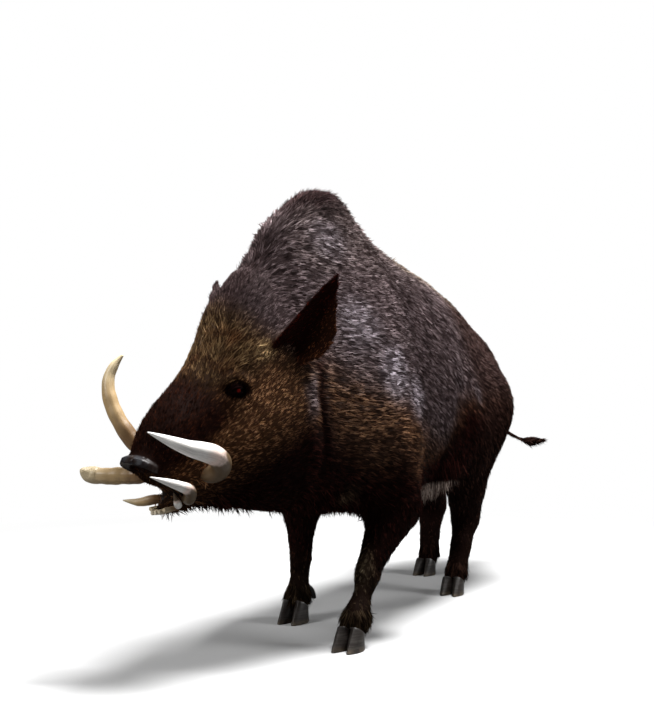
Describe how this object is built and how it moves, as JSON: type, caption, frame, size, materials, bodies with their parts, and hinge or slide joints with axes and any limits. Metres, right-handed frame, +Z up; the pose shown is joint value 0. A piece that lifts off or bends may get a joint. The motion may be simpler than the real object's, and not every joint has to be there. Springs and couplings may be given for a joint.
{
  "type": "wild boar figure",
  "caption": "Still, life-size wild boar walking with its head lowered and turned to its right: bristly dark coat, high shaggy hump, long curved tusks, cloven hooves and a hanging tail.",
  "frame": {"origin": "centre of the bounding box, on the ground under the hooves", "axes": "+X towards the front of the body, +Y to the animal's left, +Z up"},
  "size_m": [1.84, 0.5348, 1.0492],
  "materials": {
    "hide": "short, flat, dark brown coat, bluish-grey on the hump",
    "nose": "bare, wrinkled, slightly wet skin",
    "ivory": "smooth pale ivory",
    "old_ivory": "smooth yellow-brown ivory, worn pale at the tips",
    "horn": "matte grey-brown horn",
    "eye": "wet and glossy"
  },
  "bodies": {
    "root": {"head": "hide", "lower_jaw": "hide", "incisors": "old_ivory", "neck": "hide", "forequarters": "hide", "hindquarters": "hide", "fore_left_leg": "hide", "fore_left_shank": "hide", "fore_right_leg": "hide", "fore_right_shank": "hide", "hind_left_leg": "hide", "hind_left_shank": "hide", "hind_right_leg": "hide", "hind_right_shank": "hide", "tusk_left_upper": "ivory", "tusk_left_lower": "ivory", "tooth_left": "ivory", "tusk_right_upper": "old_ivory", "tusk_right_middle": "old_ivory", "tusk_right_lower": "old_ivory", "eye_left": "eye", "ear_left": "hide", "eye_right": "eye", "ear_right": "hide", "snout_disc": "nose", "tail": "hide", "tail_tuft": "hide", "hoof_fore_left_left": "horn", "dewclaw_fore_left_left": "horn", "hoof_fore_left_right": "horn", "dewclaw_fore_left_right": "horn", "hoof_fore_right_left": "horn", "dewclaw_fore_right_left": "horn", "hoof_fore_right_right": "horn", "dewclaw_fore_right_right": "horn", "hoof_hind_left_left": "horn", "dewclaw_hind_left_left": "horn", "hoof_hind_left_right": "horn", "dewclaw_hind_left_right": "horn", "hoof_hind_right_left": "horn", "dewclaw_hind_right_left": "horn", "hoof_hind_right_right": "horn", "dewclaw_hind_right_right": "horn"}
  },
  "joints": []
}
